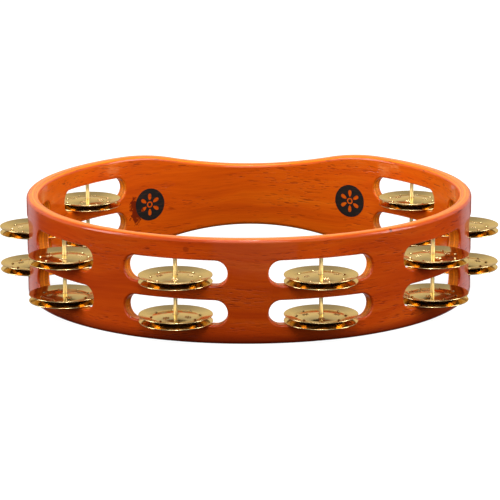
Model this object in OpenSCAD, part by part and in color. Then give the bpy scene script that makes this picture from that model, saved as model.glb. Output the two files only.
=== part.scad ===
// Headless tambourine: a laminated wooden hoop with a narrowed grip, two rows of slots,
// and a pair of loose brass jingles in every slot, threaded on a nail.
// The origin is the centre of the footprint, on the plane that the hoop stands on.
// +Z runs up the hoop's axis, and the grip is on the +Y side.

/* [Hoop] */
// Outer diameter of the hoop
hoop_d = 254; // [200:1:310]
// Height of the hoop, rim to rim
hoop_h = 57; // [47:0.5:70]
// Thickness of the laminated wall
wall = 7; // [5.8:0.1:8.5]
// Thickness of the smooth ply on each face
face_ply = 1; // [0.6:0.1:1.2]
// Rounding of the top and bottom rims
rim_round = 2.2; // [1:0.1:2.8]

/* [Grip] */
// Height of the wall at the middle of the grip
waist_h = 38; // [30:0.5:46]
// Straight-line length of the grip, from shoulder to shoulder
grip_len = 157.4; // [130:0.2:190]
// Part of that length over which the edge is hollow
hollow_len = 99; // [80:1:118]

/* [Slots] */
// Number of slot columns round the hoop
columns = 8; // [4:1:8]
// Angle between neighbouring columns, in degrees
column_pitch = 36.5; // [34:0.5:37]
// Length of a slot along the outer face
slot_len = 59; // [48:0.5:70]
// Height of a slot
slot_h = 13.5; // [10.5:0.1:16.5]
// Height of the rail between the two rows of slots
middle_rail = 8.05; // [6:0.05:11]
// How far the two rows sit below the hoop's mid-height
rows_drop = 0.7; // [0:0.05:2]

/* [Pins] */
// Diameter of the nail that carries the jingles
pin_d = 2.2; // [1.8:0.1:2.8]
// Diameter of the nail's head
head_d = 4; // [3:0.1:4.8]
// Thickness of the nail's head
head_h = 1; // [0.6:0.1:1.4]
// Depth of the head below the bottom rim
head_recess = 0.6; // [0.2:0.1:1.2]
// Wood left above the nail's point
pin_cover = 4.5; // [2:0.1:8]
// Length of the nail's point
pin_point = 2; // [1:0.5:3]

/* [Jingles] */
// Outer diameter of a jingle
jingle_d = 39.8; // [33:0.2:48]
// Thickness of the brass sheet
sheet_t = 0.5; // [0.4:0.05:0.7]
// Diameter of the circle that the sheet is folded along
fold_d = 26.2; // [20:0.2:30]
// Height of the dome and of the brim above the fold
jingle_rise = 1.5; // [1:0.1:1.9]
// Play between the nail and the hole in a jingle
hole_play = 1; // [0.4:0.1:1.6]
// Play between a jingle and what it rests on
play = 0.15; // [0.1:0.05:0.3]

/* [Badges] */
// Diameter of the round marks on the inner face
badge_d = 20; // [14:0.5:24]
// Thickness of a mark
badge_t = 0.15; // [0.1:0.05:0.3]
// Angle of each mark from the middle of the grip, in degrees
badge_turn = 30.8; // [24:0.2:32]
// Height of the left mark's centre from the hoop's mid-height
left_badge_rise = -2.3; // [-4:0.1:4]
// Height of the right mark's centre from the hoop's mid-height
right_badge_rise = -0.5; // [-4:0.1:4]

/* [Hidden] */
outer_r = hoop_d / 2;
inner_r = outer_r - wall;
pin_circle_r = outer_r - wall / 2;
mid_z = hoop_h / 2;
// Past both faces, for cutters
over = 2;

// The grip's edge: a hollow arc in the middle, and a crowned arc tangent to it and to the rim at each end
grip_depth = (hoop_h - waist_h) / 2;
shoulder_x = grip_len / 2;
arc_sum = (shoulder_x * shoulder_x + grip_depth * grip_depth) / (2 * grip_depth);
hollow_r = arc_sum * hollow_len / grip_len;
crown_r = arc_sum - hollow_r;
tangent_x = shoulder_x * hollow_r / arc_sum;
tangent_z = waist_h / 2 + hollow_r - sqrt(hollow_r * hollow_r - tangent_x * tangent_x);
// The crown's top stands this far above the rim, so that it crosses the rim instead of only touching it
crown_over = 0.02;

// The columns are spread evenly either side of the front, which is at -Y
function column_angle(c) = (c - (columns + 1) / 2) * column_pitch;
slot_turn = (slot_len - slot_h) / 2 / outer_r * 180 / PI;
row_step = slot_h + middle_rail;
low_slot_z = mid_z - rows_drop - row_step / 2;
high_slot_z = mid_z - rows_drop + row_step / 2;
pin_top = hoop_h - pin_cover;

fold_r = fold_d / 2;
hole_r = (pin_d + hole_play) / 2;
jingle_h = jingle_rise + sheet_t;
// A jingle wide enough to reach into the slots' round ends lies higher by as much as the ends rise there
jingle_turn = asin(jingle_d / 2 / pin_circle_r);
end_reach = max(0, (jingle_turn - slot_turn) * PI / 180 * outer_r);
end_rise = slot_h / 2 - sqrt(pow(slot_h / 2, 2) - pow(end_reach, 2));
dome_steps = 8;
function dome_z(r) = jingle_rise * (1 - pow(r / fold_r, 2));

// The footprint's centre is a little in front of the hoop's axis, because the front jingles stand proud
COLUMNS = [1:columns];
front_reach = max([for (c = COLUMNS) pin_circle_r * cos(column_angle(c)) + jingle_d / 2]);
back_reach = max([for (c = COLUMNS) -pin_circle_r * cos(column_angle(c)) + jingle_d / 2]);
hoop_y = (max(front_reach, outer_r) - max(back_reach, outer_r)) / 2;

ROWS = ["low", "high"];
PLACES = ["bottom", "top"];
function pin_name(c) = str("jingle_pin_", c);
function jingle_name(row, c, place) = str("jingle_", row, "_", c, "_", place);
PIN_NODES = [for (c = COLUMNS) pin_name(c)];
JINGLE_NODES = [for (row = ROWS) for (c = COLUMNS) for (place = PLACES) jingle_name(row, c, place)];
$fn = 128;

// Children are drawn about the hoop's axis, which this puts in its place
module about_hoop() {
  translate([0, hoop_y, 0]) children();
}

// Children are drawn on the pin's axis, with the hoop's outside towards +X
module at_pin(c) {
  rotate([0, 0, column_angle(c) - 90]) translate([pin_circle_r, 0, 0]) children();
}

module rounded_rectangle(w, h, r) {
  translate([r, 0]) square([w - 2 * r, h]);
  translate([0, r]) square([w, h - 2 * r]);
  for (x = [r, w - r]) {
    for (y = [r, h - r]) translate([x, y]) circle(r, $fn = 48);
  }
}

// One slot through the wall, straight-sided in the height and round at both ends
module slot_cutter(z) {
  rotate([0, 0, -slot_turn])
    rotate_extrude(angle = 2 * slot_turn)
      translate([inner_r - over, z - slot_h / 2]) square([wall + 2 * over, slot_h]);
  for (side = [-1, 1]) {
    rotate([0, 0, side * slot_turn])
      translate([inner_r - over, 0, z])
        rotate([0, 90, 0]) cylinder(d = slot_h, h = wall + 2 * over);
  }
}

module slot_cutters() {
  for (c = COLUMNS) {
    rotate([0, 0, column_angle(c) - 90]) {
      slot_cutter(low_slot_z);
      slot_cutter(high_slot_z);
    }
  }
}

// What is sawn off above the grip, seen from the front, with z from the hoop's mid-height
module grip_outline() {
  top = mid_z + over;
  difference() {
    translate([-shoulder_x, tangent_z]) square([grip_len, top - tangent_z]);
    for (side = [-1, 1]) {
      translate([side * shoulder_x, mid_z + crown_over - crown_r]) circle(crown_r, $fn = 256);
    }
  }
  intersection() {
    translate([-tangent_x, 0]) square([2 * tangent_x, top]);
    translate([0, waist_h / 2 + hollow_r]) circle(hollow_r, $fn = 256);
  }
}

module grip_cutter() {
  translate([0, outer_r + over, mid_z])
    rotate([90, 0, 0]) linear_extrude(outer_r) grip_outline();
}

module grip_cutters() {
  grip_cutter();
  translate([0, 0, hoop_h]) mirror([0, 0, 1]) grip_cutter();
}

module pin_bores() {
  for (c = COLUMNS) {
    at_pin(c) {
      translate([0, 0, -over]) cylinder(d = pin_d, h = pin_top + over, $fn = 32);
      translate([0, 0, -over]) cylinder(d = head_d, h = over + head_recess + head_h, $fn = 32);
    }
  }
}

// The part of the wall between two radii, with its slots, grip and nail holes
module ply(from_r, to_r) {
  about_hoop() difference() {
    rotate_extrude($fn = 256) intersection() {
      translate([inner_r, 0]) rounded_rectangle(wall, hoop_h, rim_round);
      translate([from_r, -over]) square([to_r - from_r, hoop_h + 2 * over]);
    }
    slot_cutters();
    grip_cutters();
    pin_bores();
  }
}

module hoop_core() {
  color("sienna") ply(inner_r + face_ply, outer_r - face_ply);
}

module outer_face_ply() {
  color("chocolate") ply(outer_r - face_ply, outer_r);
}

module inner_face_ply() {
  color("chocolate") ply(inner_r, inner_r + face_ply);
}

// A thin round mark that follows the inner face, side -1 on the left and 1 on the right
module badge(side, rise) {
  color("black") about_hoop() intersection() {
    rotate([0, 0, 90 - side * badge_turn])
      translate([inner_r - over, 0, mid_z + rise])
        rotate([0, 90, 0]) cylinder(d = badge_d, h = 2 * over, $fn = 64);
    rotate_extrude($fn = 256)
      translate([inner_r - badge_t, mid_z + rise - badge_d])
        square([badge_t, 2 * badge_d]);
  }
}

module left_badge() {
  badge(-1, left_badge_rise);
}

module right_badge() {
  badge(1, right_badge_rise);
}

// A flat-headed nail driven up from the bottom rim, through both slots, blind in the top rail
module jingle_pin(c) {
  color("khaki") about_hoop() at_pin(c) {
    translate([0, 0, head_recess]) cylinder(d = head_d, h = head_h, $fn = 32);
    translate([0, 0, head_recess]) cylinder(d = pin_d, h = pin_top - pin_point - head_recess, $fn = 32);
    translate([0, 0, pin_top - pin_point]) cylinder(d1 = pin_d, d2 = pin_d / 4, h = pin_point, $fn = 32);
  }
}

// The brass sheet of one jingle, folded down to z = 0 between its dome and its brim
module jingle_sheet() {
  dome = [for (i = [0:dome_steps - 1]) hole_r + (fold_r - hole_r) * i / dome_steps];
  under = concat([for (r = dome) [r, dome_z(r)]], [[fold_r, 0], [jingle_d / 2, jingle_rise]]);
  above = [for (i = [len(under) - 1:-1:0]) under[i] + [0, sheet_t]];
  rotate_extrude() polygon(concat(under, above));
}

// The bottom jingle of a pair lies fold up, and the top one fold down on it
module jingle(row, c, place) {
  floor_z = (row == "low" ? low_slot_z : high_slot_z) - slot_h / 2 + end_rise + play;
  color("gold") about_hoop() at_pin(c) {
    if (place == "bottom") translate([0, 0, floor_z + jingle_h]) mirror([0, 0, 1]) jingle_sheet();
    if (place == "top") translate([0, 0, floor_z + jingle_h + play]) jingle_sheet();
  }
}

hoop_core();
outer_face_ply();
inner_face_ply();
left_badge();
right_badge();
for (c = COLUMNS) {
  jingle_pin(c);
}
for (row = ROWS) {
  for (c = COLUMNS) {
    for (place = PLACES) {
      jingle(row, c, place);
    }
  }
}
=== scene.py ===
"""A headless tambourine: a lacquered laminated hoop with jingles on nails and two printed marks.

Everything is in metres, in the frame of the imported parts: +Z up the hoop's axis and the grip at +Y. Each
sub-assembly is a class that builds and dresses its own meshes, and each finish is a frozen dataclass.
"""

import logging
import math
import random
from dataclasses import dataclass, field
from enum import Enum
from typing import Callable, Sequence

import bmesh
import bpy
from mathutils import Matrix, Vector
from mathutils.geometry import delaunay_2d_cdt


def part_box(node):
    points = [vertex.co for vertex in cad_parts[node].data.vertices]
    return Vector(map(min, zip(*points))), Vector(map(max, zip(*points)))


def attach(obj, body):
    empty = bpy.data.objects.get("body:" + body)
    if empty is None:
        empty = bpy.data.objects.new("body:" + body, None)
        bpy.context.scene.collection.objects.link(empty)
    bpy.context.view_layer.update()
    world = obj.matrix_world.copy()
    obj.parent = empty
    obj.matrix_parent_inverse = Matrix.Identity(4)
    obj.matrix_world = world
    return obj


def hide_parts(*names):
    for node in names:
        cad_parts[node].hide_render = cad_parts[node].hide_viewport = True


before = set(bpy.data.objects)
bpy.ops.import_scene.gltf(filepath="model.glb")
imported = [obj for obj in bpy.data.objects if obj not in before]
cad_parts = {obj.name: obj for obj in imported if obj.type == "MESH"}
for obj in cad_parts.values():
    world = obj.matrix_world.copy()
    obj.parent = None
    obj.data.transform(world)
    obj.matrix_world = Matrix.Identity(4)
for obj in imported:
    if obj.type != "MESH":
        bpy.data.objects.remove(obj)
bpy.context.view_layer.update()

LOG = logging.getLogger("tambourine")
MM = 0.001
TAU = 2 * math.pi
COLUMNS = 8

Colour = tuple[float, float, float]
Flat = tuple[float, float]
EdgeRow = tuple[float, float, float]


class Row(Enum):
    """The two rows of slots, by the word in their node names."""

    LOW = "low"
    HIGH = "high"


class Place(Enum):
    """Where a jingle lies in its pair, by the word in its node name."""

    BOTTOM = "bottom"
    TOP = "top"


class Side(Enum):
    """Left or right of the grip, as a sign along X."""

    LEFT = -1
    RIGHT = 1


class Face(Enum):
    """The outer or the inner face of the hoop's wall, as a sign along the radius."""

    OUTER = 1
    INNER = -1


class Rim(Enum):
    """The top or the bottom rim of the hoop, as a sign along Z."""

    TOP = 1
    BOTTOM = -1


# ---------------------------------------------------------------- node trees


class Nodes:
    """A short way to write a node tree: each method adds one node and returns its output."""

    def __init__(self, owner: bpy.types.ID, output: str = "ShaderNodeOutputMaterial") -> None:
        """Start an empty tree.

        Args:
            owner: The material or the world that the tree is for.
            output: Blender's name of its output node.
        """
        self.owner = owner
        self.owner.use_nodes = True
        self.tree = self.owner.node_tree
        self.tree.nodes.clear()
        self.out = self.tree.nodes.new(output)

    def add(self, kind: str, inputs: dict | None = None, **settings: object) -> bpy.types.Node:
        """Add a node.

        Args:
            kind: Blender's name of the node type.
            inputs: Values or sockets for the node's inputs, by name or index.
            settings: Attributes to set on the node.

        Returns:
            The new node.
        """
        node = self.tree.nodes.new(kind)
        for key, value in settings.items():
            setattr(node, key, value)
        for key, value in (inputs or {}).items():
            if isinstance(value, bpy.types.NodeSocket):
                self.tree.links.new(value, node.inputs[key])
            else:
                node.inputs[key].default_value = value
        return node

    def math(self, operation: str, *values: object) -> bpy.types.NodeSocket:
        """Return the result of a Math node on up to three numbers or sockets."""
        return self.add("ShaderNodeMath", dict(enumerate(values)), operation=operation).outputs[0]

    def point(self) -> Sequence[bpy.types.NodeSocket]:
        """Return the X, Y and Z sockets of the point in the object's own frame."""
        place = self.add("ShaderNodeTexCoord").outputs["Object"]
        return self.add("ShaderNodeSeparateXYZ", {0: place}).outputs

    def join(self, x: object, y: object, z: object) -> bpy.types.NodeSocket:
        """Return a vector of three numbers or sockets."""
        return self.add("ShaderNodeCombineXYZ", {0: x, 1: y, 2: z}).outputs[0]

    def noise(self, vector: object, scale: float, detail: float = 3.0, rough: float = 0.5,
              w: object = None) -> bpy.types.NodeSocket:
        """Add a noise texture.

        Args:
            vector: The point to sample at.
            scale: The texture's scale.
            detail: The number of octaves.
            rough: How strong the finer octaves are.
            w: A fourth coordinate, or None for noise in three dimensions.

        Returns:
            The noise value, from 0 to 1.
        """
        inputs = {"Vector": vector, "Scale": scale, "Detail": detail, "Roughness": rough}
        if w is None:
            return self.add("ShaderNodeTexNoise", inputs).outputs[0]
        inputs["W"] = w
        return self.add("ShaderNodeTexNoise", inputs, noise_dimensions="4D").outputs[0]

    def fit(self, value: object, low: float, high: float, to_low: float = 0.0,
            to_high: float = 1.0) -> bpy.types.NodeSocket:
        """Return value carried smoothly from low..high to to_low..to_high, and held there outside."""
        inputs = {0: value, 1: low, 2: high, 3: to_low, 4: to_high}
        return self.add("ShaderNodeMapRange", inputs, interpolation_type="SMOOTHSTEP").outputs[0]

    def ramp(self, factor: object, *stops: tuple[float, Colour]) -> bpy.types.NodeSocket:
        """Return a colour that runs through (position, colour) stops as factor goes from 0 to 1."""
        node = self.add("ShaderNodeValToRGB", {0: factor})
        elements = node.color_ramp.elements
        while len(elements) < len(stops):
            elements.new(0.5)
        for element, (at, colour) in zip(elements, stops):
            element.position = at
            element.color = (*colour, 1.0)
        return node.outputs[0]

    def mix(self, factor: object, a: object, b: object, blend: str = "MIX") -> bpy.types.NodeSocket:
        """Return colour b laid over colour a by factor, with one of Blender's blend types."""
        node = self.add("ShaderNodeMix", {0: factor}, data_type="RGBA", blend_type=blend)
        # A Mix node's colours are its inputs 6 and 7, and its output 2
        for index, value in ((6, a), (7, b)):
            if isinstance(value, bpy.types.NodeSocket):
                self.tree.links.new(value, node.inputs[index])
            else:
                node.inputs[index].default_value = (*value, 1.0)
        return node.outputs[2]

    def bump(self, height: object, distance: float) -> bpy.types.NodeSocket:
        """Return a normal that follows a height.

        Args:
            height: The height, from 0 to 1.
            distance: How far apart the lowest and the highest are, in metres.

        Returns:
            The bumped normal.
        """
        return self.add("ShaderNodeBump", {"Height": height, "Distance": distance}).outputs[0]

    def surface(self, inputs: dict) -> bpy.types.Material:
        """Finish with a Principled shader.

        Args:
            inputs: Values or sockets for the shader's inputs.

        Returns:
            The finished material.
        """
        shader = self.add("ShaderNodeBsdfPrincipled", inputs)
        self.tree.links.new(shader.outputs[0], self.out.inputs[0])
        return self.owner


# ---------------------------------------------------------------- finishes


@dataclass(frozen=True)
class Blemish:
    """A natural dark mark in the wood.

    Attributes:
        turn: Its turn from the front.
        radius: How far it is from the hoop's axis.
        height: Its height.
        size: Its half width round the hoop, and its half height.
        strength: How dark it is, from 0 to 1.
        ragged: How far its outline strays, as a share of its size.
    """

    turn: float
    radius: float
    height: float
    size: Flat
    strength: float
    ragged: float


@dataclass(frozen=True)
class LacqueredPly:
    """Stained plywood whose grain runs round the hoop, under a thick gloss lacquer.

    Attributes:
        centre_y: Where the hoop's axis stands.
        outer_r: The hoop's outer radius.
        wall: The wall's thickness.
        blemishes: The natural marks in the wood.
        plies: How many plies the wall has.
    """

    centre_y: float
    outer_r: float
    wall: float
    blemishes: tuple[Blemish, ...] = ()
    plies: int = 5
    pale: Colour = (0.580, 0.092, 0.0036)
    body: Colour = (0.490, 0.055, 0.0012)
    deep: Colour = (0.360, 0.030, 0.0010)
    pore: Colour = (0.130, 0.009, 0.0010)
    inner_tint: Colour = (1.36, 1.72, 1.0)
    edge: Colour = (0.880, 0.255, 0.0110)
    edge_deep: Colour = (0.330, 0.070, 0.0090)
    glue: Colour = (0.100, 0.016, 0.0040)
    mark_depth: float = 4.0 * MM

    def build(self) -> bpy.types.Material:
        """Return the material."""
        n = Nodes(bpy.data.materials.new("lacquered_ply"))
        x, y, z = n.point()
        y = n.math("SUBTRACT", y, self.centre_y)
        r = n.math("SQRT", n.math("ADD", n.math("MULTIPLY", x, x), n.math("MULTIPLY", y, y)))
        east, north = n.math("DIVIDE", x, r), n.math("DIVIDE", y, r)
        depth = n.math("SUBTRACT", self.outer_r, r)
        in_plies = n.math("DIVIDE", depth, self.wall / self.plies)
        ply = n.math("FLOOR", n.math("ADD", in_plies, 0.02))
        drift = n.noise(n.join(east, north, n.math("MULTIPLY", z, 9.0)), 2.4, 2.0)

        def grain(along: float, across: float, detail: float = 3.0, rough: float = 0.55,
                  wander: float = 0.0) -> bpy.types.NodeSocket:
            """Return streaks along the hoop.

            Args:
                along: The streaks' length, in metres.
                across: The streaks' width, in metres.
                detail: The number of octaves.
                rough: How strong the finer octaves are.
                wander: How far the streaks drift up and down, in metres.

            Returns:
                The streaks' value, from 0 to 1.
            """
            turn = self.outer_r / along
            height = n.math("MULTIPLY_ADD", n.math("SUBTRACT", drift, 0.5), wander, z)
            vector = n.join(n.math("MULTIPLY", east, turn), n.math("MULTIPLY", north, turn),
                            n.math("DIVIDE", height, across))
            w = n.math("MULTIPLY_ADD", r, 1.0 / (2.5 * across), n.math("MULTIPLY", ply, 7.3))
            return n.noise(vector, 1.0, detail, rough, w)

        figure = grain(along=120 * MM, across=14 * MM, detail=2.0, rough=0.5, wander=22 * MM)
        streak = grain(along=46 * MM, across=2.4 * MM, wander=14 * MM)
        fibre = grain(along=14 * MM, across=0.40 * MM, rough=0.6, wander=6 * MM)
        pores = grain(along=5.0 * MM, across=0.50 * MM, detail=1.0, rough=0.3, wander=6 * MM)
        crowd = grain(along=44 * MM, across=9 * MM, detail=2.0)

        colour = n.ramp(n.math("MULTIPLY_ADD", streak, 0.40, n.math("MULTIPLY", figure, 0.60)),
                        (0.30, self.deep), (0.50, self.body), (0.72, self.pale))
        colour = n.mix(n.fit(fibre, 0.25, 0.70, 0.30, 0.0), colour, self.deep)
        pore = n.math("MULTIPLY", n.fit(pores, 0.615, 0.670), n.fit(crowd, 0.40, 0.62, 0.05, 0.70))
        colour = n.mix(pore, colour, self.pore)
        inner = n.fit(depth, self.wall - 0.9 * MM, self.wall - 0.3 * MM)
        colour = n.mix(inner, colour, n.mix(1.0, colour, self.inner_tint, "MULTIPLY"))

        # The rims and the slots show the plies' edges, with dark glue lines between them
        inside = n.math("MULTIPLY", n.fit(depth, 0.8 * MM, 1.5 * MM),
                        n.fit(depth, self.wall - 0.20 * MM, self.wall - 0.8 * MM))
        saw = n.math("ABSOLUTE", n.math("SUBTRACT", n.math("FRACT", n.math("ADD", in_plies, 0.5)), 0.5))
        line = n.math("MULTIPLY", n.fit(saw, 0.13, 0.03), n.fit(depth, 0.5 * MM, 1.0 * MM))
        across_ply = n.math("GREATER_THAN", n.math("FRACT", n.math("MULTIPLY", ply, 0.5)), 0.25)
        edges = n.mix(n.math("MULTIPLY_ADD", across_ply, 0.30, n.fit(fibre, 0.35, 0.65, 0.35, 0.0)),
                      self.edge, self.edge_deep)
        colour = n.mix(n.math("MULTIPLY", inside, 0.85), colour, edges)
        colour = n.mix(n.math("MULTIPLY", n.math("MULTIPLY", line, inside), 0.42), colour, self.glue)
        # Painted shade: the outer face is darkened towards the bottom rim's outer edge, where light from
        # above falls off
        painted_shade_low_edge = n.math("MULTIPLY", n.fit(z, 7 * MM, 1 * MM, 0.0, 0.80), n.fit(depth, 3 * MM, 1 * MM))
        colour = n.mix(painted_shade_low_edge, colour, self.pore)
        for blemish in self.blemishes:
            colour = n.mix(self.mark(n, blemish), colour, self.pore)

        ripple = n.noise(n.join(n.math("MULTIPLY", east, 9.0), n.math("MULTIPLY", north, 9.0),
                                n.math("MULTIPLY", z, 90.0)), 1.0, 2.0)
        open_pores = n.math("MULTIPLY", n.fit(pores, 0.50, 0.66), n.fit(crowd, 0.36, 0.60))
        relief = n.math("MULTIPLY_ADD", fibre, 0.12, n.math("MULTIPLY", open_pores, -0.55))
        return n.surface({
            "Base Color": colour,
            "Roughness": n.fit(fibre, 0.2, 0.8, 0.38, 0.55),
            "Specular IOR Level": 0.05,
            "Normal": n.bump(relief, 0.08 * MM),
            "Coat Weight": n.fit(inside, 0.0, 1.0, 0.55, 0.28),
            "Coat Roughness": 0.06,
            "Coat IOR": 1.5,
            "Coat Normal": n.bump(n.math("MULTIPLY_ADD", relief, 0.60, ripple), 0.09 * MM),
        })

    def mark(self, n: Nodes, blemish: Blemish) -> bpy.types.NodeSocket:
        """Return how much of a blemish shows at a point.

        Args:
            n: The tree.
            blemish: The blemish.

        Returns:
            The share of the blemish's colour, from 0 to 1.
        """
        x, y, z = n.point()
        sway = n.noise(n.join(x, y, z), 420.0, 3.0, 0.6)
        along = (math.cos(blemish.turn), math.sin(blemish.turn))
        out = (math.sin(blemish.turn), -math.cos(blemish.turn))
        y = n.math("SUBTRACT", y, self.centre_y)
        side = n.math("MULTIPLY_ADD", y, along[1], n.math("MULTIPLY", x, along[0]))
        away = n.math("MULTIPLY_ADD", y, out[1], n.math("MULTIPLY", x, out[0]))
        offs = (n.math("DIVIDE", side, blemish.size[0]),
                n.math("DIVIDE", n.math("SUBTRACT", z, blemish.height), blemish.size[1]),
                n.math("DIVIDE", n.math("SUBTRACT", away, blemish.radius), self.mark_depth))
        reach = n.add("ShaderNodeVectorMath", {0: n.join(*offs)}, operation="LENGTH").outputs["Value"]
        reach = n.math("MULTIPLY_ADD", n.math("SUBTRACT", sway, 0.5), blemish.ragged, reach)
        return n.fit(reach, 1.0, 0.7, 0.0, blemish.strength)


@dataclass(frozen=True)
class SheetBrass:
    """Pressed and polished brass sheet, with fine lathe rings and a little tarnish in the folds.

    Attributes:
        fold_r: The radius of the fold, where tarnish gathers.
    """

    fold_r: float
    bright: Colour = (0.86, 0.66, 0.32)
    dull: Colour = (0.70, 0.50, 0.22)
    stain: Colour = (0.34, 0.20, 0.06)
    glancing: Colour = (0.84, 0.69, 0.44)

    def build(self) -> bpy.types.Material:
        """Return the material."""
        n = Nodes(bpy.data.materials.new("sheet_brass"))
        x, y, z = n.point()
        r = n.math("SQRT", n.math("ADD", n.math("MULTIPLY", x, x), n.math("MULTIPLY", y, y)))
        rings = n.noise(n.join(n.math("MULTIPLY", r, 5200.0), 0.0, 0.0), 1.0, 2.0, 0.6)
        cloud = n.noise(n.join(x, y, z), 120.0, 4.0, 0.6)
        speck = n.noise(n.join(x, y, z), 1500.0, 2.0, 0.5)
        near_fold = n.fit(n.math("ABSOLUTE", n.math("SUBTRACT", r, self.fold_r)), 2.2 * MM, 0.0)
        colour = n.mix(n.fit(cloud, 0.35, 0.75, 0.0, 0.5), self.bright, self.dull)
        tarnish = n.math("MULTIPLY", near_fold, n.fit(cloud, 0.40, 0.62))
        colour = n.mix(n.math("MULTIPLY", tarnish, 0.40), colour, self.stain)
        colour = n.mix(n.fit(speck, 0.66, 0.74, 0.0, 0.25), colour, self.stain)
        rough = n.math("MULTIPLY_ADD", rings, 0.05, n.fit(cloud, 0.3, 0.7, 0.09, 0.14))
        return n.surface({
            "Base Color": colour,
            "Metallic": 1.0,
            "Specular Tint": (*self.glancing, 1.0),
            "Roughness": rough,
            "Normal": n.bump(n.math("MULTIPLY_ADD", rings, 0.25, n.math("MULTIPLY", cloud, 0.8)), 0.006 * MM),
        })


@dataclass(frozen=True)
class NailBrass:
    """Bright brass plating on a drawn nail, with faint draw lines along it."""

    bright: Colour = (0.96, 0.88, 0.58)
    worn: Colour = (0.86, 0.72, 0.38)

    def build(self) -> bpy.types.Material:
        """Return the material."""
        n = Nodes(bpy.data.materials.new("nail_brass"))
        x, y, z = n.point()
        draw = n.noise(n.join(n.math("MULTIPLY", x, 4000.0), n.math("MULTIPLY", y, 4000.0),
                              n.math("MULTIPLY", z, 60.0)), 1.0, 2.0)
        wear = n.noise(n.join(x, y, z), 350.0, 3.0)
        return n.surface({
            "Base Color": n.mix(n.fit(wear, 0.4, 0.7), self.bright, self.worn),
            "Metallic": 1.0,
            "Roughness": n.math("MULTIPLY_ADD", draw, 0.14, 0.30),
            "Normal": n.bump(draw, 0.01 * MM),
        })


@dataclass(frozen=True)
class PrintedInk:
    """Matt black ink under the lacquer, a little uneven where the grain lifts it."""

    black: Colour = (0.012, 0.010, 0.009)
    thin: Colour = (0.050, 0.022, 0.012)

    def build(self) -> bpy.types.Material:
        """Return the material."""
        n = Nodes(bpy.data.materials.new("printed_ink"))
        x, y, z = n.point()
        lift = n.noise(n.join(n.math("MULTIPLY", x, 120.0), n.math("MULTIPLY", y, 120.0),
                              n.math("MULTIPLY", z, 1700.0)), 1.0, 3.0, 0.6)
        return n.surface({
            "Base Color": n.mix(n.fit(lift, 0.5, 0.75), self.black, self.thin),
            "Roughness": n.fit(lift, 0.2, 0.8, 0.42, 0.6),
            "Normal": n.bump(lift, 0.02 * MM),
            "Specular IOR Level": 0.15,
            "Coat Weight": 0.35,
            "Coat Roughness": 0.10,
        })


@dataclass(frozen=True)
class StudioPaper:
    """The pale floor."""

    tone: Colour = (0.16, 0.16, 0.16)
    shade: float = 0.985
    glow: float = 0.93

    def build(self) -> bpy.types.Material:
        """Return the material."""
        n = Nodes(bpy.data.materials.new("studio_paper"))
        x, y, z = n.point()
        tooth = n.noise(n.join(x, y, z), 9.0, 3.0)
        shaded = tuple(self.shade * v for v in self.tone)
        return n.surface({
            "Base Color": n.mix(tooth, self.tone, shaded),
            "Roughness": 0.9,
            "Emission Color": (1.0, 1.0, 1.0, 1.0),
            "Emission Strength": self.glow,
        })


# ---------------------------------------------------------------- meshes


@dataclass
class Skin:
    """Points with their true normals, and the faces between them, gathered for one mesh."""

    points: list[Vector] = field(default_factory=list)
    normals: list[Vector] = field(default_factory=list)
    faces: list[tuple[int, ...]] = field(default_factory=list)

    def add(self, point: Vector, normal: Vector) -> int:
        """Add a point with its normal, and return its index."""
        self.points.append(point)
        self.normals.append(normal)
        return len(self.points) - 1

    def face(self, corners: Sequence[int], flip: bool = False) -> None:
        """Add a face, turned over if flip is true."""
        self.faces.append(tuple(reversed(corners)) if flip else tuple(corners))

    def strips(self, rings: Sequence[Sequence[int]], flip: bool = False) -> None:
        """Join closed rings of points, each to the next.

        Args:
            rings: The rings, each with as many points as the others.
            flip: Turn the faces over.
        """
        for near, far in zip(rings, rings[1:]):
            for i in range(len(near)):
                j = (i + 1) % len(near)
                self.face((near[i], near[j], far[j], far[i]), flip)

    def cap(self, ring: Sequence[int], point: Vector, normal: Vector) -> None:
        """Close a ring of points with a fan round one more point.

        Args:
            ring: The ring.
            point: The fan's middle.
            normal: The surface's normal there.
        """
        middle = self.add(point, normal)
        for i in range(len(ring)):
            self.face((ring[i], ring[(i + 1) % len(ring)], middle))

    def mesh(self, name: str, material: bpy.types.Material, crease: float | None = None) -> bpy.types.Mesh:
        """Make the mesh.

        Args:
            name: The mesh's name.
            material: Its finish.
            crease: The angle above which an edge is sharp, or None to shade by the true normals.

        Returns:
            The mesh.
        """
        used = sorted({corner for face in self.faces for corner in face})
        number = {old: new for new, old in enumerate(used)}
        faces = [[number[corner] for corner in face] for face in self.faces]
        mesh = bpy.data.meshes.new(name)
        mesh.from_pydata([tuple(self.points[old]) for old in used], [], faces)
        most_bend, most_skew = math.radians(8), math.radians(35)
        work = bmesh.new()
        work.from_mesh(mesh)
        triangles = [f for f in work.faces if len(f.verts) == 3]
        bmesh.ops.join_triangles(work, faces=triangles, angle_face_threshold=most_bend,
                                 angle_shape_threshold=most_skew)
        bmesh.ops.recalc_face_normals(work, faces=work.faces)
        work.to_mesh(mesh)
        work.free()
        mesh.shade_smooth()
        if crease is None:
            normals = [tuple(self.normals[old].normalized()) for old in used]
            mesh.normals_split_custom_set_from_vertices(normals)
        else:
            mesh.set_sharp_from_angle(angle=crease)
        mesh.materials.append(material)
        return mesh


def put(name: str, mesh: bpy.types.Mesh, matrix: Matrix | None = None) -> bpy.types.Object:
    """Put a mesh in the scene.

    Args:
        name: The new object's name.
        mesh: Its mesh, which other objects may share.
        matrix: Where it goes, or None for the frame's origin.

    Returns:
        The object.
    """
    piece = bpy.data.objects.new(name, mesh)
    bpy.context.scene.collection.objects.link(piece)
    if matrix is not None:
        piece.matrix_world = matrix
    return piece


def stand_for(piece: bpy.types.Object, node: str, body: str) -> None:
    """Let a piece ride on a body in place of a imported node.

    Args:
        piece: The piece.
        node: The node that it stands for.
        body: The body that carries it.
    """
    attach(piece, body)
    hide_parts(node)
    LOG.info("%s: %d faces", piece.name, len(piece.data.polygons))


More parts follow.
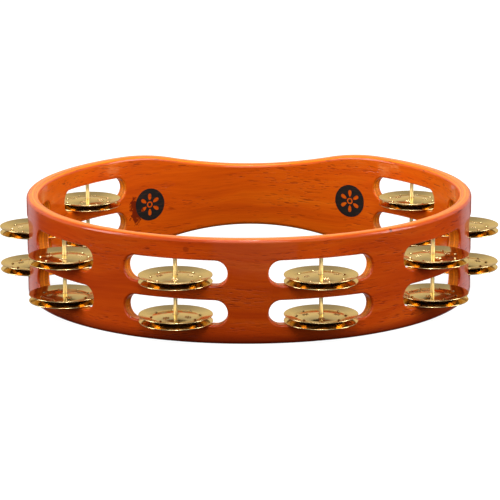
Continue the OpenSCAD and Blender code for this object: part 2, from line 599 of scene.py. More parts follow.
def circle(count: int, radius: float, middle: Flat = (0.0, 0.0)) -> list[Flat]:
    """Return count points round a circle, anticlockwise."""
    turns = [TAU * i / count for i in range(count)]
    return [(middle[0] + radius * math.cos(t), middle[1] + radius * math.sin(t)) for t in turns]


def fill(loops: Sequence[Sequence[Flat]], inner: Sequence[Flat],
         keep: Callable[[float, float], bool]) -> list[tuple[int, ...]]:
    """Fill a flat region with well-shaped triangles.

    Args:
        loops: Closed outlines that the triangles follow and that don't cross.
        inner: Further points to use.
        keep: Whether a triangle whose middle is at this point belongs to the region.

    Returns:
        The triangles, anticlockwise, as indices into the loops' points and then the inner ones.
    """
    points: list[Flat] = []
    edges: list[tuple[int, int]] = []
    for loop in loops:
        first, count = len(points), len(loop)
        points.extend(loop)
        edges.extend((first + i, first + (i + 1) % count) for i in range(count))
    points.extend(inner)
    scaled = [Vector((u / MM, v / MM)) for u, v in points]
    _, _, faces, origins, *_ = delaunay_2d_cdt(scaled, edges, [], 0, 1e-5)
    least = 0.005 * MM
    found = []
    for face in faces:
        corners = tuple(origins[i][0] for i in face)
        a, b, c = (points[i] for i in corners)
        area = (b[0] - a[0]) * (c[1] - a[1]) - (b[1] - a[1]) * (c[0] - a[0])
        longest = max(math.dist(a, b), math.dist(b, c), math.dist(c, a))
        middle = ((a[0] + b[0] + c[0]) / 3, (a[1] + b[1] + c[1]) / 3)
        if abs(area) > least * longest and keep(*middle):
            found.append(tuple(reversed(corners)) if area < 0 else corners)
    return found


@dataclass(frozen=True)
class RoundedEdge:
    """The section of a wall's edge: a quarter round at each face and a flat between them.

    Attributes:
        wall: The wall's thickness.
        radius: The radius of the quarter rounds.
    """

    wall: float
    radius: float
    flat_steps: int = 4

    def row(self, depth: float) -> EdgeRow:
        """Find the edge at a depth into the wall.

        Args:
            depth: The distance from the outer face.

        Returns:
            The depth, the drop below the edge's flat, and the angle between the outer face's normal and
            the edge's.
        """
        if depth < self.radius:
            lean = math.acos(1 - depth / self.radius)
        elif depth > self.wall - self.radius:
            lean = math.pi - math.acos(max(-1.0, 1 - (self.wall - depth) / self.radius))
        else:
            lean = math.pi / 2
        return depth, self.radius * (1 - math.sin(lean)), lean

    def rows(self, start: float, end: float, steps: int) -> list[EdgeRow]:
        """Return the edge's rows between two depths, with this many steps in each quarter round."""
        cuts = {start, end}
        for i in range(steps + 1):
            depth = self.radius * (1 - math.cos(math.pi / 2 * i / steps))
            cuts |= {depth, self.wall - depth}
        flat = self.wall - 2 * self.radius
        cuts |= {self.radius + flat * i / self.flat_steps for i in range(1, self.flat_steps)}
        least = 0.02 * MM
        kept = [start]
        for cut in sorted(cuts):
            if start + least < cut < end - least and cut - kept[-1] > least:
                kept.append(cut)
        return [self.row(depth) for depth in kept + [end]]


# ---------------------------------------------------------------- the hoop


@dataclass
class SlottedHoop:
    """The laminated hoop: two face plies and a core, slotted in two rows and waisted at the grip.

    A place on the hoop is a turn about its axis from the front, a depth below the outer face, and a height.

    Attributes:
        centre_y: Where the hoop's axis stands.
        outer_r: The outer radius.
        wall: The wall's thickness.
        height: The height, rim to rim.
        face_ply: The thickness of each face ply.
        pin_turns: The turn of each column of slots.
        slot_heights: The height of each row's middle.
        head_recess: How far the nails' heads lie above the bottom rim.
        head_r: The radius of the nails' heads.
        body: The body that carries the hoop.
    """

    centre_y: float
    outer_r: float
    wall: float
    height: float
    face_ply: float
    pin_turns: list[float]
    slot_heights: list[float]
    head_recess: float
    head_r: float
    body: str = "hoop"
    rim_round: float = 2.2 * MM
    slot_length: float = 59.0 * MM
    slot_height: float = 13.5 * MM
    slot_ease: float = 1.1 * MM
    waist: float = 38.0 * MM
    grip_length: float = 157.4 * MM
    hollow_length: float = 99.0 * MM
    columns: int = 288
    rim_steps: int = 6
    ease_steps: int = 4
    side_steps: int = 16
    end_steps: int = 14
    courses: int = 17
    hidden_step: int = 4
    hidden_courses: int = 4
    slot_clear: float = 0.9 * MM
    bore_play: float = 0.12 * MM
    bore_break: float = 0.12 * MM
    bore_depth: float = 0.5 * MM
    bore_segments: int = 28
    bore_clear: float = 0.45 * MM

    def __post_init__(self) -> None:
        """Work out the grip's two arcs and the slots' half angle."""
        depth = (self.height - self.waist) / 2
        self.shoulder = self.grip_length / 2
        arc_sum = (self.shoulder ** 2 + depth ** 2) / (2 * depth)
        self.hollow_r = arc_sum * self.hollow_length / self.grip_length
        self.crown_r = arc_sum - self.hollow_r
        self.tangent_x = self.hollow_length / 2
        self.end_r = self.slot_height / 2
        self.slot_turn = (self.slot_length / 2 - self.end_r) / self.outer_r
        self.rim_edge = RoundedEdge(self.wall, self.rim_round)
        self.slot_edge = RoundedEdge(self.wall, self.slot_ease)

    def radial(self, turn: float) -> Vector:
        """Return the outward direction at a turn."""
        return Vector((math.sin(turn), -math.cos(turn), 0.0))

    def along(self, turn: float) -> Vector:
        """Return the direction round the hoop at a turn."""
        return Vector((math.cos(turn), math.sin(turn), 0.0))

    def spot(self, turn: float, depth: float, z: float) -> Vector:
        """Return the point at a turn, a depth below the outer face and a height."""
        radius = self.outer_r - depth
        return Vector((radius * math.sin(turn), self.centre_y - radius * math.cos(turn), z))

    def edge(self, turn: float, depth: float) -> tuple[float, float]:
        """Find the top edge's flat.

        Args:
            turn: The turn from the front.
            depth: The depth below the outer face.

        Returns:
            The edge's height above mid-height, and its slope along X.
        """
        x = (self.outer_r - depth) * math.sin(turn)
        far = abs(x)
        if math.cos(turn) > 0 or far >= self.shoulder:
            return self.height / 2, 0.0
        if far <= self.tangent_x:
            root = math.sqrt(self.hollow_r ** 2 - x * x)
            return self.waist / 2 + self.hollow_r - root, x / root
        back = far - self.shoulder
        root = math.sqrt(self.crown_r ** 2 - back * back)
        return self.height / 2 - self.crown_r + root, -back / root * math.copysign(1.0, x)

    def rim_point(self, rim: Rim, turn: float, row: EdgeRow) -> tuple[Vector, Vector]:
        """Return the point and the normal of a rim's rounded edge, at a turn and a row of the edge."""
        depth, drop, lean = row
        rise, slope = self.edge(turn, depth)
        up = Vector((-slope, 0.0, rim.value)).normalized()
        z = self.height / 2 + rim.value * (rise - drop / abs(up.z))
        normal = math.cos(lean) * self.radial(turn) + math.sin(lean) * up
        return self.spot(turn, depth, z), normal

    def column_turns(self) -> list[float]:
        """Return the turns of the mesh's columns, from the middle of the grip once round."""
        return [-math.pi + TAU * i / self.columns for i in range(self.columns)]

    def slot_outline(self, turn: float, z: float) -> list[tuple[float, float, float, float]]:
        """Trace a slot anticlockwise, as seen from outside.

        Args:
            turn: The slot's middle.
            z: The slot's height.

        Returns:
            For each point, the turn and the height of the nearest point on the slot's middle line, and the
            direction from there to the slot's edge, along and up.
        """
        straight = [self.slot_turn * (2 * i / self.side_steps - 1) for i in range(1, self.side_steps)]
        end = [math.pi * i / self.end_steps for i in range(self.end_steps + 1)]
        right = [(turn + self.slot_turn, z, math.sin(t), -math.cos(t)) for t in end]
        left = [(turn - self.slot_turn, z, -math.sin(t), math.cos(t)) for t in end]
        top = [(turn - t, z, 0.0, 1.0) for t in straight]
        bottom = [(turn + t, z, 0.0, -1.0) for t in straight]
        return bottom + right + top + left

    def in_slot(self, along: float, z: float, spare: float) -> bool:
        """Say whether a point of the unrolled face is within spare of a slot, or in it."""
        for height in self.slot_heights:
            if abs(z - height) > self.end_r + spare:
                continue
            for turn in self.pin_turns:
                middle = turn * self.outer_r
                reach = max(0.0, abs(along - middle) - self.slot_turn * self.outer_r)
                if math.hypot(reach, z - height) < self.end_r + spare:
                    return True
        return False

    def layer(self, start: float, end: float, heads: bool) -> Skin:
        """Build the part of the wall between two depths, closed all round.

        Args:
            start: The lesser depth.
            end: The greater depth.
            heads: Whether the bottom rim has the counterbores for the nails' heads.

        Returns:
            The layer's points and faces.
        """
        skin = Skin()
        turns = self.column_turns()
        rim_rows = self.rim_edge.rows(start, end, self.rim_steps)
        rims: dict[Rim, list[list[int]]] = {}
        for rim in Rim:
            rims[rim] = [[skin.add(*self.rim_point(rim, turn, row)) for turn in turns] for row in rim_rows]
        skin.strips(rims[Rim.TOP])
        if heads:
            self.fill_bottom(skin, rims[Rim.BOTTOM])
        else:
            skin.strips(rims[Rim.BOTTOM], flip=True)
        slots = self.add_slots(skin, self.slot_edge.rows(start, end, self.ease_steps))
        for face, ring in ((Face.OUTER, 0), (Face.INNER, -1)):
            at_face = start < MM / 100 if face is Face.OUTER else end > self.wall - MM / 100
            borders = (rims[Rim.BOTTOM][ring], rims[Rim.TOP][ring])
            self.fill_face(skin, face, rim_rows[ring], borders, [rings[ring] for rings in slots], at_face)
        return skin

    def add_slots(self, skin: Skin, rows: list[EdgeRow]) -> list[list[list[int]]]:
        """Line every slot with its eased edge and its end walls, and return each slot's rings of points."""
        slots = []
        for turn in self.pin_turns:
            for z in self.slot_heights:
                rings = []
                for depth, drop, lean in rows:
                    ring = []
                    for at, height, side, up in self.slot_outline(turn, z):
                        here = at + side * (self.end_r + drop) / self.outer_r
                        point = self.spot(here, depth, height + up * (self.end_r + drop))
                        opening = -side * self.along(here) - up * Vector((0.0, 0.0, 1.0))
                        normal = math.cos(lean) * self.radial(here) + math.sin(lean) * opening
                        ring.append(skin.add(point, normal))
                    rings.append(ring)
                skin.strips(rings)
                slots.append(rings)
        return slots

    def unroll(self, point: Vector) -> Flat:
        """Return a point's place on the unrolled outer face: the distance along, and the height."""
        turn = math.atan2(point.x, self.centre_y - point.y)
        return turn * self.outer_r, point.z

    def fill_face(self, skin: Skin, face: Face, row: EdgeRow,
                  borders: tuple[list[int], list[int]], holes: list[list[int]], fine: bool) -> None:
        """Fill the face of a layer between its rims and round its slots.

        Args:
            skin: The layer.
            face: Which way the face looks.
            row: The rims' row at the face's depth.
            borders: The points of the bottom and the top border, one for each column.
            holes: The points round each slot.
            fine: Whether the face is seen, and needs the full grid.
        """
        depth, drop, _ = row
        count, girth = self.columns, TAU * self.outer_r
        step = 1 if fine else self.hidden_step
        courses = self.courses if fine else self.hidden_courses
        grid: dict[tuple[int, int], int] = {}
        for i in range(0, count, step):
            turn = -math.pi + TAU * i / count
            low, high = (skin.points[border[i]].z for border in borders)
            for j in range(1, courses):
                z = low + (high - low) * j / courses
                if not self.in_slot(turn * self.outer_r, z, self.slot_ease + self.slot_clear):
                    place = self.spot(turn, depth, z)
                    grid[i, j] = skin.add(place, face.value * self.radial(turn))
        seam = [grid[0, j] for j in range(1, courses)]
        outline = [*borders[0], borders[0][0], *seam, borders[1][0], *reversed(borders[1]), *reversed(seam)]
        flats = [self.unroll(skin.points[i]) for i in outline]
        right_side = range(count, count + len(seam) + 2)
        flats = [(girth / 2, v) if k in right_side else (-girth / 2 if abs(u) > girth / 2 - MM / 10 else u, v)
                 for k, (u, v) in enumerate(flats)]
        inner = [index for (i, _), index in grid.items() if i]
        loops = [flats, *[[self.unroll(skin.points[i]) for i in hole] for hole in holes]]
        indices = [*outline, *[i for hole in holes for i in hole], *inner]

        def in_wood(along: float, z: float) -> bool:
            """Say whether a triangle's middle lies in the face."""
            turn = along / self.outer_r
            rise, slope = self.edge(turn, depth)
            reach = rise - drop * math.hypot(1.0, slope)
            hole_drop = self.slot_edge.row(depth)[1]
            return abs(z - self.height / 2) < reach and not self.in_slot(along, z, hole_drop)

        for corners in fill(loops, [self.unroll(skin.points[i]) for i in inner], in_wood):
            skin.face([indices[c] for c in corners], flip=face is Face.INNER)

    def fill_bottom(self, skin: Skin, rings: list[list[int]]) -> None:
        """Fill the bottom rim round the counterbores, and line each of them.

        Args:
            skin: The layer.
            rings: The rim's points, row by row.
        """
        count, girth = self.columns, TAU * self.outer_r
        bore = self.head_r + self.bore_play
        mouth_r = bore + self.bore_break
        floor = self.head_recess + self.bore_depth
        down = Vector((0.0, 0.0, -1.0))
        middle = self.wall / 2
        outline = [*rings[0], rings[0][0], *[ring[0] for ring in rings[1:]],
                   *reversed(rings[-1]), *[ring[0] for ring in reversed(rings[1:-1])]]
        flats: list[Flat] = []
        for k, index in enumerate(outline):
            along, _ = self.unroll(skin.points[index])
            depth = self.depth_of(skin.points[index])
            at_right = count <= k < count + len(rings)
            at_left = not at_right and abs(abs(along) - girth / 2) < MM / 10
            flats.append((girth / 2 if at_right else -girth / 2 if at_left else along, depth))
        loops, indices = [flats], list(outline)
        for turn in self.pin_turns:
            mouth = []
            for u, v in circle(self.bore_segments, mouth_r):
                at, depth = turn + u / (self.outer_r - middle), middle + v
                mouth.append(skin.add(*self.rim_point(Rim.BOTTOM, at, self.rim_edge.row(depth))))
            loops.append([(self.unroll(skin.points[i])[0], self.depth_of(skin.points[i])) for i in mouth])
            indices.extend(mouth)
            rings_in = [mouth]
            for z in (None, floor):
                wall_ring = []
                for u, v in circle(self.bore_segments, bore):
                    at, depth = turn + u / (self.outer_r - middle), middle + v
                    point, _ = self.rim_point(Rim.BOTTOM, at, self.rim_edge.row(depth))
                    height = point.z + self.bore_break if z is None else z
                    inward = -u * self.along(turn) + v * self.radial(turn)
                    wall_ring.append(skin.add(Vector((point.x, point.y, height)), inward))
                rings_in.append(wall_ring)
            skin.strips(rings_in)
            skin.cap(rings_in[-1], self.spot(turn, middle, floor), down)
        inner = []
        for ring in rings[1:-1]:
            for i in range(1, count):
                along, _ = self.unroll(skin.points[ring[i]])
                depth = self.depth_of(skin.points[ring[i]])
                if self.from_nearest_pin(along, depth) > bore + self.bore_clear:
                    inner.append(ring[i])
        indices.extend(inner)
        spots = [(self.unroll(skin.points[i])[0], self.depth_of(skin.points[i])) for i in inner]

        def on_rim(along: float, depth: float) -> bool:
            """Say whether a triangle's middle lies on the rim and outside the counterbores."""
            return self.from_nearest_pin(along, depth) > mouth_r

        for corners in fill(loops, spots, on_rim):
            skin.face([indices[c] for c in corners])

    def depth_of(self, point: Vector) -> float:
        """Return a point's depth below the outer face."""
        return self.outer_r - math.hypot(point.x, point.y - self.centre_y)

    def from_nearest_pin(self, along: float, depth: float) -> float:
        """Return the distance from a place on the unrolled rim to the nearest nail's axis."""
        scale = (self.outer_r - self.wall / 2) / self.outer_r
        return min(math.hypot((along - turn * self.outer_r) * scale, depth - self.wall / 2)
                   for turn in self.pin_turns)

    def build(self, wood: bpy.types.Material) -> None:
        """Build the three layers.

        Args:
            wood: The finish of the whole hoop.
        """
        cuts = (0.0, self.face_ply, self.wall - self.face_ply, self.wall)
        layers = (
            ("outer_face_ply", "face_wood"),
            ("hoop_core", "core_wood"),
            ("inner_face_ply", "face_wood"),
        )
        for (node, slot), start, end in zip(layers, cuts, cuts[1:]):
            skin = self.layer(start, end, heads=node == "hoop_core")
            stand_for(put(f"wood_{node}", skin.mesh(node, wood)), node, self.body)


# ---------------------------------------------------------------- brass


@dataclass
class Jingles:
    """Pressed brass jingles in pairs, all of one shape, turned a few ways.

    A jingle is a dome inside a fold and a brim outside it, with rosettes punched in the dome and dimples
    punched in the fold. In a pair, the lower one lies dome down and the upper one dome up.

    Attributes:
        radius: The radius of a jingle.
        height: The height of a jingle.
        columns: How many columns of slots there are.
        hole_r: The radius of the hole.
        sheet: The thickness of the sheet.
        fold_r: The radius of the fold.
    """

    radius: float
    height: float
    columns: int
    hole_r: float = 1.6 * MM
    sheet: float = 0.5 * MM
    fold_r: float = 13.1 * MM
    fold_soft: float = 0.30 * MM
    dimples: int = 8
    dimple_r: float = 1.15 * MM
    dimple_h: float = 0.60 * MM
    rosettes: int = 4
    rosette_at: float = 8.4 * MM
    petals: int = 6
    petal_at: float = 1.35 * MM
    petal_r: float = 0.60 * MM
    petal_h: float = 0.36 * MM
    petal_pitch: float = 0.27 * MM
    dimple_pitch: float = 0.30 * MM
    mark_clear: float = 0.25 * MM
    dome_steps: int = 12
    brim_steps: int = 6
    bead_steps: int = 4
    segments: int = 96
    hole_segments: int = 36
    spins: int = 5
    seed: int = 7

    def __post_init__(self) -> None:
        """Place the punched marks."""
        self.rise = self.height - self.sheet
        self.dimple_spots = circle(self.dimples, self.fold_r)
        self.rosette_spots = circle(self.rosettes, self.rosette_at)
        self.petal_spots: list[Flat] = []
        for middle in self.rosette_spots:
            self.petal_spots += [middle, *circle(self.petals, self.petal_at, middle)]

    def lift(self, x: float, y: float) -> float:
        """Return the height of the sheet's lower side at a point."""
        r = math.hypot(x, y)
        dome = self.rise * (1 - (r / self.fold_r) ** 2)
        brim = self.rise * (r - self.fold_r) / (self.radius - self.fold_r)
        z = (dome + brim + math.hypot(dome - brim, self.fold_soft)) / 2
        for spots, size, high in ((self.dimple_spots, self.dimple_r, self.dimple_h),
                                  (self.petal_spots, self.petal_r, self.petal_h)):
            for u, v in spots:
                off = math.hypot(x - u, y - v) / size
                if off < 1:
                    z += high * (1 - off * off) ** 2
        return min(z, self.rise)

    def slope(self, x: float, y: float) -> Vector:
        """Return the sheet's upward normal at a point."""
        step = 0.02 * MM
        east = self.lift(x + step, y) - self.lift(x - step, y)
        north = self.lift(x, y + step) - self.lift(x, y - step)
        return Vector((-east, -north, 2 * step)).normalized()

    def inner_spots(self) -> list[Flat]:
        """Return the points inside the sheet: rings, and closer grids where the marks are."""
        rosette_r = self.petal_at + self.petal_r
        fine_at = [(spot, rosette_r, self.petal_pitch) for spot in self.rosette_spots]
        fine_at += [(spot, self.dimple_r, self.dimple_pitch) for spot in self.dimple_spots]
        spots = []
        for (u, v), reach, pitch in fine_at:
            for k in range(1, round(reach / pitch) + 1):
                spots += circle(6 * k, k * reach / round(reach / pitch), (u, v))
            spots.append((u, v))
        dome, brim = self.fold_r - self.hole_r, self.radius - self.fold_r
        rings = [self.hole_r + dome * i / self.dome_steps for i in range(1, self.dome_steps)]
        rings += [self.fold_r + d * MM for d in (-0.5, -0.2, 0.0, 0.2, 0.5)]
        rings += [self.fold_r + brim * i / self.brim_steps for i in range(1, self.brim_steps)]
        for ring in rings:
            count = max(24, round(self.segments * min(1.0, 1.4 * ring / self.radius)))
            for spot in circle(count, ring):
                if all(math.dist(spot, middle) > reach + self.mark_clear for middle, reach, _ in fine_at):
                    spots.append(spot)
        return spots

    def shape(self, brass: bpy.types.Material) -> bpy.types.Mesh:
        """Build the mesh, dome up, with its fold at z = 0.

        Args:
            brass: The finish.

        Returns:
            The mesh that the turned copies are made from.
        """
        skin = Skin()
        bead = self.sheet / 2
        rim = circle(self.segments, self.radius - bead)
        hole = circle(self.hole_segments, self.hole_r + bead)
        inner = self.inner_spots()
        spots = [*rim, *hole, *inner]
        upper, lower = [], []
        for x, y in spots:
            z, normal = self.lift(x, y), self.slope(x, y)
            upper.append(skin.add(Vector((x, y, z + self.sheet)), normal))
            lower.append(skin.add(Vector((x, y, z)), -normal))
        inside = (self.hole_r + bead) * math.cos(math.pi / len(hole))
        outside = self.radius
        for corners in fill([rim, hole], inner, lambda u, v: inside < math.hypot(u, v) < outside):
            skin.face([upper[c] for c in corners])
            skin.face([lower[c] for c in corners], flip=True)
        for first, count, way in ((0, len(rim), 1.0), (len(rim), len(hole), -1.0)):
            rings = [lower[first:first + count]]
            for k in range(1, self.bead_steps):
                swing = -math.pi / 2 + math.pi * k / self.bead_steps
                ring = []
                for x, y in spots[first:first + count]:
                    out = Vector((x, y, 0.0)).normalized() * way
                    normal = out * math.cos(swing) + Vector((0.0, 0.0, math.sin(swing)))
                    middle = Vector((x, y, self.lift(x, y) + bead))
                    ring.append(skin.add(middle + normal * bead, normal))
                rings.append(ring)
            rings.append(upper[first:first + count])
            skin.strips(rings, flip=way < 0)
        return skin.mesh("jingle", brass)

    def build(self, brass: bpy.types.Material) -> None:
        """Put a jingle in place of every packed one, turned one way or another.

        Args:
            brass: The finish.
        """
        shape = self.shape(brass)
        meshes: dict[Place, list[bpy.types.Mesh]] = {}
        for place in Place:
            flip = Matrix.Identity(4) if place is Place.TOP else Matrix.Rotation(math.pi, 4, "X")
            meshes[place] = []
            for k in range(self.spins):
                turned = shape.copy()
                turned.transform(flip @ Matrix.Rotation(TAU * k / self.spins, 4, "Z"))
                meshes[place].append(turned)
        pick = random.Random(self.seed)
        for row in Row:
            for column in range(1, self.columns + 1):
                for place in Place:
                    node = f"jingle_{row.value}_{column}_{place.value}"
                    low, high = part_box(node)
                    middle = (low + high) / 2
                    spot = Vector((middle.x, middle.y, low.z if place is Place.TOP else high.z))
                    piece = put(f"brass_{node}", pick.choice(meshes[place]), Matrix.Translation(spot))
                    stand_for(piece, node, node)
        bpy.data.meshes.remove(shape)


@dataclass
class Nails:
    """The nails that carry the jingles, which share one mesh.

    Attributes:
        length: The length of a nail.
        head_r: The radius of its head.
        columns: How many nails there are.
    """

    length: float
    head_r: float
    columns: int
    shank_r: float = 1.1 * MM
    head_h: float = 1.0 * MM
    point: float = 2.0 * MM
    tip_r: float = 0.275 * MM
    segments: int = 32

    def profile(self) -> list[Flat]:
        """Return the radius and height of each turn of the nail's outline, from the head up."""
        crown, round_r, chamfer = 0.12 * MM, 0.22 * MM, 0.1 * MM
        outline = [(self.head_r * k / 4, crown * (k / 4) ** 2) for k in range(1, 4)]
        for k in range(5):
            swing = math.pi / 2 * k / 4
            outline.append((self.head_r - round_r + round_r * math.sin(swing),
                            crown + round_r - round_r * math.cos(swing)))
        outline += [(self.head_r, self.head_h - chamfer), (self.head_r - chamfer, self.head_h)]
        neck = 0.25 * MM
        outline += [(self.shank_r + neck, self.head_h), (self.shank_r, self.head_h + neck)]
        straight = self.length - self.point - self.head_h
        outline += [(self.shank_r, self.head_h + neck + (straight - neck) * k / 8) for k in range(1, 9)]
        outline += [(self.tip_r + 0.15 * MM, self.length - 0.3 * MM), (self.tip_r, self.length - 0.06 * MM)]
        return outline

    def shape(self, brass: bpy.types.Material) -> bpy.types.Mesh:
        """Build the mesh, head down, with its head's face at z = 0.

        Args:
            brass: The finish.

        Returns:
            The mesh that all nails share.
        """
        skin = Skin()
        up = Vector((0.0, 0.0, 1.0))
        rings = [[skin.add(Vector((x, y, z)), up) for x, y in circle(self.segments, r)]
                 for r, z in self.profile()]
        skin.strips(rings)
        skin.cap(rings[0], Vector((0.0, 0.0, 0.0)), -up)
        skin.cap(rings[-1], Vector((0.0, 0.0, self.length)), up)
        return skin.mesh("nail", brass, crease=math.radians(40))

    def build(self, brass: bpy.types.Material) -> None:
        """Put a nail in place of every packed one.

        Args:
            brass: The finish.
        """
        mesh = self.shape(brass)
        for column in range(1, self.columns + 1):
            node = f"jingle_pin_{column}"
            low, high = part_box(node)
            middle = (low + high) / 2
            spot = Matrix.Translation((middle.x, middle.y, low.z))
            stand_for(put(f"brass_{node}", mesh, spot), node, "hoop")


# ---------------------------------------------------------------- badges


@dataclass
class Badge:
    """A round printed mark on the inner face: a disc with a flower in it, which is left open to the wood.

    Attributes:
        side: Which side of the grip it is on.
        centre_y: Where the hoop's axis stands.
        inner_r: The radius of the hoop's inner face.
        radius: The radius of the mark.
        height: The height of its middle.
    """

    side: Side
    centre_y: float
    inner_r: float
    radius: float
    height: float
    from_grip: float = math.radians(30.8)
    proud: float = 0.11 * MM
    petals: int = 6
    petal_from: float = 2.7 * MM
    petal_to: float = 6.9 * MM
    petal_half: float = 1.15 * MM
    eye_out: float = 2.0 * MM
    eye_in: float = 1.1 * MM
    flare: float = 0.25

    def __post_init__(self) -> None:
        """Work out the middle and the half length of a petal."""
        self.petal_middle = (self.petal_from + self.petal_to) / 2
        self.petal_reach = (self.petal_to - self.petal_from) / 2

    def petal(self, index: int) -> list[Flat]:
        """Return the outline of a petal."""
        turn = TAU * index / self.petals + math.pi / 2
        outline = []
        for u, v in circle(24, 1.0):
            along = self.petal_middle + self.petal_reach * u
            across = self.petal_half * v * (1 + self.flare * u)
            outline.append((along * math.cos(turn) - across * math.sin(turn),
                            along * math.sin(turn) + across * math.cos(turn)))
        return outline

    def in_petal(self, u: float, v: float) -> bool:
        """Say whether a place on the mark lies in a petal."""
        for index in range(self.petals):
            turn = TAU * index / self.petals + math.pi / 2
            along = (u * math.cos(turn) + v * math.sin(turn) - self.petal_middle) / self.petal_reach
            across = (v * math.cos(turn) - u * math.sin(turn)) / self.petal_half
            if abs(along) < 1 and along ** 2 + (across / (1 + self.flare * along)) ** 2 < 1:
                return True
        return False

    def in_ink(self, u: float, v: float) -> bool:
        """Say whether a place on the mark is printed."""
        r = math.hypot(u, v)
        return r < self.eye_in or (self.eye_out < r < self.radius and not self.in_petal(u, v))

    def build(self, ink: bpy.types.Material) -> None:
        """Build the mark.

        Args:
            ink: The finish.
        """
        rings = ((72, self.radius), (36, self.eye_out), (24, self.eye_in))
        loops = [circle(count, r) for count, r in rings] + [self.petal(i) for i in range(self.petals)]
        margin = self.radius - self.petal_to
        inner = [spot for share in (0.25, 0.6) for spot in circle(60, self.petal_to + share * margin)]
        spots = [spot for loop in loops for spot in loop] + inner
        skin = Skin()
        middle = math.pi - self.from_grip
        front, back = [], []
        for u, v in spots:
            turn = self.side.value * middle - u / self.inner_r
            out = Vector((math.sin(turn), -math.cos(turn), 0.0))
            sides = ((front, self.inner_r - self.proud, -out), (back, self.inner_r, out))
            for sheet, r, normal in sides:
                place = Vector((0.0, self.centre_y, self.height + v)) + out * r
                sheet.append(skin.add(place, normal))
        for corners in fill(loops, inner, self.in_ink):
            skin.face([front[c] for c in corners])
            skin.face([back[c] for c in corners], flip=True)
        first = 0
        for loop in loops:
            ends = first + len(loop)
            skin.strips([back[first:ends], front[first:ends]])
            first = ends
        node = f"{self.side.name.lower()}_badge"
        piece = put(f"printed_{node}", skin.mesh(node, ink, crease=math.radians(40)))
        stand_for(piece, node, "hoop")


# ---------------------------------------------------------------- studio


@dataclass(frozen=True)
class Softbox:
    """A rectangular light that looks at the object.

    Attributes:
        name: The light's name.
        place: Where it hangs.
        size: Its width and height.
        power: Its power, in watts.
        tone: Its colour.
    """

    name: str
    place: tuple[float, float, float]
    size: Flat
    power: float
    tone: Colour = (1.0, 1.0, 1.0)

    def build(self, target: Vector) -> None:
        """Hang the light.

        Args:
            target: The point that it looks at.
        """
        light = bpy.data.lights.new(self.name, "AREA")
        light.shape = "RECTANGLE"
        light.size, light.size_y = self.size
        light.energy = self.power
        light.color = self.tone
        lamp = bpy.data.objects.new(self.name, light)
        lamp.location = self.place
        lamp.rotation_euler = (target - lamp.location).to_track_quat("-Z", "Y").to_euler()
        lamp.visible_camera = False
        bpy.context.scene.collection.objects.link(lamp)


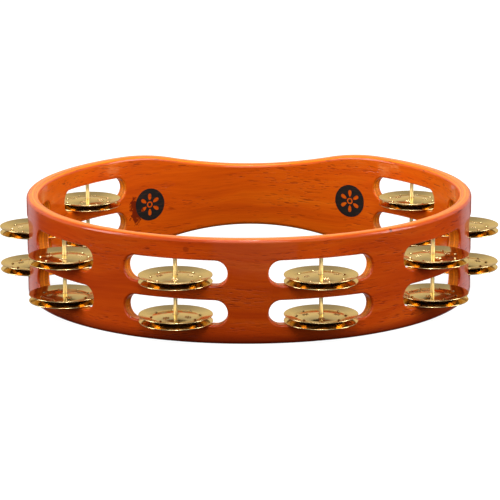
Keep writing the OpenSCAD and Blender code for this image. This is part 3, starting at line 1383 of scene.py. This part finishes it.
@dataclass
class Studio:
    """The pale floor, the lights and the camera.

    Attributes:
        target: The point that the camera looks at.
    """

    target: Vector
    distance: float = 1482.3 * MM
    elevation: float = math.radians(13.03)
    azimuth: float = math.radians(0.28)
    roll: float = math.radians(-0.24)
    lens: float = 185.6
    sensor: float = 36.0
    shift: Flat = (0.0018, -0.0234)
    floor_size: float = 9.0
    horizon: Colour = (0.86, 0.84, 0.82)
    zenith: Colour = (0.26, 0.25, 0.25)
    front_below: Colour = (0.012, 0.010, 0.010)
    back_below: Colour = (0.86, 0.74, 0.78)

    def build(self, paper: bpy.types.Material) -> None:
        """Set up the studio.

        Args:
            paper: The floor's finish.
        """
        self.lay_floor(paper)
        self.light_world()
        boxes = (
            Softbox("left_box", (-1.5, -0.25, 0.75), (0.6, 1.2), 17.0),
            Softbox("right_box", (1.5, -0.25, 0.75), (0.6, 1.2), 17.0),
            Softbox("top_box", (0.0, 0.1, 1.6), (1.0, 1.0), 16.0),
            Softbox("front_box", (0.0, -1.7, 1.5), (1.4, 0.8), 19.0),
            Softbox("spot_box", (0.0, -0.3, 1.5), (0.14, 0.14), 4.0),
            *(Softbox(f"front_card_{k}", (0.012, -0.28, 0.013), (0.17 * s, 0.026 * s), 0.0042 * s * s)
              for k, s in enumerate((1.0, 0.84, 0.68))),
        )
        for box in boxes:
            box.build(self.target)
        self.aim_camera()
        bpy.context.scene.view_settings.view_transform = "Standard"

    def lay_floor(self, paper: bpy.types.Material) -> None:
        """Lay the floor, which the object doesn't mirror.

        Args:
            paper: Its finish.
        """
        mesh = bpy.data.meshes.new("floor")
        work = bmesh.new()
        bmesh.ops.create_grid(work, x_segments=8, y_segments=8, size=self.floor_size)
        work.to_mesh(mesh)
        work.free()
        mesh.materials.append(paper)
        floor = put("floor", mesh, Matrix.Translation((0.0, self.floor_size / 2, -0.05 * MM)))
        for rays in ("glossy", "diffuse", "shadow"):
            setattr(floor, f"visible_{rays}", False)

    def light_world(self) -> None:
        """Make the air bright above, and below only towards the back."""
        world = bpy.data.worlds.new("studio_air")
        bpy.context.scene.world = world
        n = Nodes(world, "ShaderNodeOutputWorld")
        way = n.add("ShaderNodeTexCoord").outputs["Generated"]
        _, y, z = n.add("ShaderNodeSeparateXYZ", {0: way}).outputs
        band = n.math("MULTIPLY", n.fit(y, 0.68, 0.82), n.fit(y, 0.955, 0.90, 0.12, 1.0))
        below = n.mix(band, self.front_below, self.back_below)
        above = n.mix(n.fit(z, 0.25, 0.75), self.horizon, self.zenith)
        colour = n.mix(n.fit(z, -0.06, 0.10), below, above)
        back = n.add("ShaderNodeBackground", {"Color": colour})
        n.tree.links.new(back.outputs[0], n.out.inputs[0])

    def aim_camera(self) -> None:
        """Set the camera at the view's distance, height and turn."""
        level_share = math.cos(self.elevation)
        back = Vector((
            level_share * math.sin(self.azimuth),
            -level_share * math.cos(self.azimuth),
            math.sin(self.elevation),
        ))
        level = Vector((math.cos(self.azimuth), math.sin(self.azimuth), 0.0))
        up = back.cross(level)
        right = level * math.cos(self.roll) + up * math.sin(self.roll)
        up = back.cross(right)
        place = self.target + back * self.distance
        lens = bpy.data.cameras.new("camera")
        lens.lens, lens.sensor_width = self.lens, self.sensor
        lens.shift_x, lens.shift_y = self.shift
        lens.clip_start, lens.clip_end = 0.05, 60.0
        camera = bpy.data.objects.new("camera", lens)
        camera.matrix_world = Matrix((right, up, back)).transposed().to_4x4()
        camera.location = place
        bpy.context.scene.collection.objects.link(camera)
        bpy.context.scene.camera = camera


# ---------------------------------------------------------------- the whole


def main() -> None:
    """Build the tambourine and its studio."""
    logging.basicConfig(level=logging.INFO, format="%(name)s: %(message)s")
    low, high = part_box("outer_face_ply")
    centre_y, outer_r = (low.y + high.y) / 2, (high.x - low.x) / 2
    core_low, core_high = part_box("hoop_core")
    inner_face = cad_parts["inner_face_ply"].data.vertices
    inner_r = min(math.hypot(v.co.x, v.co.y - centre_y) for v in inner_face)
    pins = [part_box(f"jingle_pin_{c}") for c in range(1, COLUMNS + 1)]
    middles = [(a + b) / 2 for a, b in pins]
    turns = [math.atan2(m.x, centre_y - m.y) for m in middles]
    pin_low, pin_high = pins[0]
    head_r = (pin_high.x - pin_low.x) / 2
    under_pair = 0.15 * MM
    half_slot = SlottedHoop.slot_height / 2
    heights = [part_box(f"jingle_{row.value}_1_bottom")[0].z - under_pair + half_slot for row in Row]
    jingle_low, jingle_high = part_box("jingle_low_1_top")

    blemishes = (
        Blemish(turn=math.radians(-144.6), radius=inner_r, height=23.5 * MM, size=(5.2 * MM, 9.0 * MM),
                strength=0.92, ragged=2.0),
        Blemish(turn=math.radians(-15.0), radius=outer_r, height=51 * MM, size=(2.2 * MM, 1.6 * MM),
                strength=0.45, ragged=0.9),
        Blemish(turn=math.radians(37.0), radius=outer_r, height=56 * MM, size=(1.2 * MM, 1.0 * MM),
                strength=0.9, ragged=0.8),
    )
    wall = outer_r - inner_r
    hoop = SlottedHoop(centre_y, outer_r, wall, core_high.z - core_low.z,
                       core_low.x - low.x, turns, heights, pin_low.z, head_r)
    hoop.build(LacqueredPly(centre_y, outer_r, wall, blemishes).build())
    jingles = Jingles((jingle_high.x - jingle_low.x) / 2, jingle_high.z - jingle_low.z, len(pins))
    jingles.build(SheetBrass(jingles.fold_r).build())
    Nails(pin_high.z - pin_low.z, head_r, len(pins)).build(NailBrass().build())
    ink = PrintedInk().build()
    for side in Side:
        mark_low, mark_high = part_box(f"{side.name.lower()}_badge")
        mark_r, mark_z = (mark_high.z - mark_low.z) / 2, (mark_low.z + mark_high.z) / 2
        Badge(side, centre_y, inner_r, mark_r, mark_z).build(ink)
    Studio(Vector((0.0, centre_y, hoop.height / 2))).build(StudioPaper().build())


if __name__ == "__main__":
    main()
